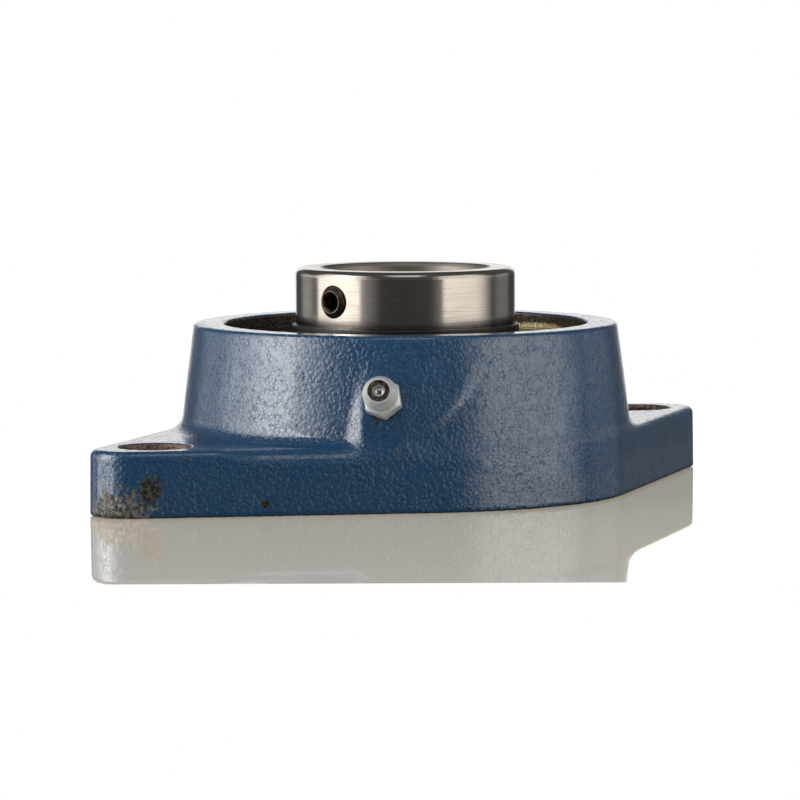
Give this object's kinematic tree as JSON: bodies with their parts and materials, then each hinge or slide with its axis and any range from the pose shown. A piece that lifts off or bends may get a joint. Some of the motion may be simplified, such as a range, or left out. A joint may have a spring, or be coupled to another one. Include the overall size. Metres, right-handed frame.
{
  "type": "two-bolt flange bearing",
  "caption": "Oval cast-iron flange housing with bolt holes at both ends, holding a self-aligning insert ball bearing with set screws and a grease nipple, to carry a shaft.",
  "frame": {"origin": "on the shaft's axis, in the plane of the mounting face", "axes": "+Z along the shaft's axis, away from the mounting face; +X along the line of the two bolt holes"},
  "size_m": [0.1414, 0.083, 0.0411],
  "materials": {
    "housing_paint": "semi-gloss blue paint over sand-cast iron",
    "ground_steel": "ground bearing steel",
    "ball_steel": "polished steel",
    "plated_steel": "zinc-plated steel",
    "yellow_steel": "yellow passivated sheet steel",
    "cage_steel": "pressed sheet steel",
    "black_oxide": "black oxide steel",
    "flinger_black": "black coated sheet steel",
    "seal_rubber": "nitrile rubber"
  },
  "bodies": {
    "housing": {"housing": "housing_paint", "grease_nipple_body": "plated_steel", "nipple_spring": "ball_steel"},
    "check_ball": {"nipple_check_ball": "ball_steel"},
    "pin": {"anti_rotation_pin": "ball_steel"},
    "outer_race": {"outer_ring": "ground_steel", "front_seal_shield": "yellow_steel", "front_seal_lip": "seal_rubber", "rear_seal_shield": "yellow_steel", "rear_seal_lip": "seal_rubber"},
    "inner_race": {"inner_ring": "ground_steel", "front_flinger": "flinger_black", "rear_flinger": "flinger_black"},
    "screw_a": {"set_screw_a": "black_oxide"},
    "screw_b": {"set_screw_b": "black_oxide"},
    "cage": {"cage_front_half": "cage_steel", "cage_rear_half": "cage_steel", "cage_rivets": "cage_steel"},
    "ball_1": {"ball_1": "ball_steel"},
    "ball_2": {"ball_2": "ball_steel"},
    "ball_3": {"ball_3": "ball_steel"},
    "ball_4": {"ball_4": "ball_steel"},
    "ball_5": {"ball_5": "ball_steel"},
    "ball_6": {"ball_6": "ball_steel"},
    "ball_7": {"ball_7": "ball_steel"},
    "ball_8": {"ball_8": "ball_steel"},
    "ball_9": {"ball_9": "ball_steel"}
  },
  "joints": [
    {"name": "align_pitch", "type": "hinge", "parent": "housing", "child": "pin", "pos_m": [0, 0, 0.0189], "axis": [1, 0, 0], "range_deg": [-2, 2]},
    {"name": "align_yaw", "type": "hinge", "parent": "pin", "child": "outer_race", "pos_m": [0, 0, 0.0189], "axis": [0, 1, 0], "range_deg": [-2, 2]},
    {"name": "shaft_spin", "type": "hinge", "parent": "outer_race", "child": "inner_race", "pos_m": [0, 0, 0.0189], "axis": [0, 0, 1], "continuous": true},
    {"name": "cage_spin", "type": "hinge", "parent": "outer_race", "child": "cage", "pos_m": [0, 0, 0.0189], "axis": [0, 0, 1], "continuous": true},
    {"name": "ball_1_roll", "type": "hinge", "parent": "cage", "child": "ball_1", "pos_m": [0.02316, 0, 0.0189], "axis": [0, 0, 1], "continuous": true},
    {"name": "ball_2_roll", "type": "hinge", "parent": "cage", "child": "ball_2", "pos_m": [0.01774, 0.01489, 0.0189], "axis": [0, 0, 1], "continuous": true},
    {"name": "ball_3_roll", "type": "hinge", "parent": "cage", "child": "ball_3", "pos_m": [0.00402, 0.02281, 0.0189], "axis": [0, 0, 1], "continuous": true},
    {"name": "ball_4_roll", "type": "hinge", "parent": "cage", "child": "ball_4", "pos_m": [-0.01158, 0.02005, 0.0189], "axis": [0, 0, 1], "continuous": true},
    {"name": "ball_5_roll", "type": "hinge", "parent": "cage", "child": "ball_5", "pos_m": [-0.02176, 0.00792, 0.0189], "axis": [0, 0, 1], "continuous": true},
    {"name": "ball_6_roll", "type": "hinge", "parent": "cage", "child": "ball_6", "pos_m": [-0.02176, -0.00792, 0.0189], "axis": [0, 0, 1], "continuous": true},
    {"name": "ball_7_roll", "type": "hinge", "parent": "cage", "child": "ball_7", "pos_m": [-0.01158, -0.02005, 0.0189], "axis": [0, 0, 1], "continuous": true},
    {"name": "ball_8_roll", "type": "hinge", "parent": "cage", "child": "ball_8", "pos_m": [0.00402, -0.02281, 0.0189], "axis": [0, 0, 1], "continuous": true},
    {"name": "ball_9_roll", "type": "hinge", "parent": "cage", "child": "ball_9", "pos_m": [0.01774, -0.01489, 0.0189], "axis": [0, 0, 1], "continuous": true},
    {"name": "set_screw_a_travel", "type": "slide", "parent": "inner_race", "child": "screw_a", "axis": [-0.9877, -0.1564, 0], "range_m": [-0.0012, 0.003]},
    {"name": "set_screw_b_travel", "type": "slide", "parent": "inner_race", "child": "screw_b", "axis": [0.3584, 0.9336, 0], "range_m": [-0.0012, 0.003]},
    {"name": "check_ball_lift", "type": "slide", "parent": "housing", "child": "check_ball", "axis": [0.6902, 0.6619, -0.2924], "range_m": [0, 0.0008], "stiffness_N_per_m": 400, "springref_m": -0.0005, "deforming": ["nipple_spring"]}
  ],
  "couplings": [
    {"joint": "cage_spin", "follows": "shaft_spin", "ratio": 0.39717},
    {"joint": "ball_1_roll", "follows": "shaft_spin", "ratio": -2.3284},
    {"joint": "ball_2_roll", "follows": "shaft_spin", "ratio": -2.3284},
    {"joint": "ball_3_roll", "follows": "shaft_spin", "ratio": -2.3284},
    {"joint": "ball_4_roll", "follows": "shaft_spin", "ratio": -2.3284},
    {"joint": "ball_5_roll", "follows": "shaft_spin", "ratio": -2.3284},
    {"joint": "ball_6_roll", "follows": "shaft_spin", "ratio": -2.3284},
    {"joint": "ball_7_roll", "follows": "shaft_spin", "ratio": -2.3284},
    {"joint": "ball_8_roll", "follows": "shaft_spin", "ratio": -2.3284},
    {"joint": "ball_9_roll", "follows": "shaft_spin", "ratio": -2.3284}
  ]
}
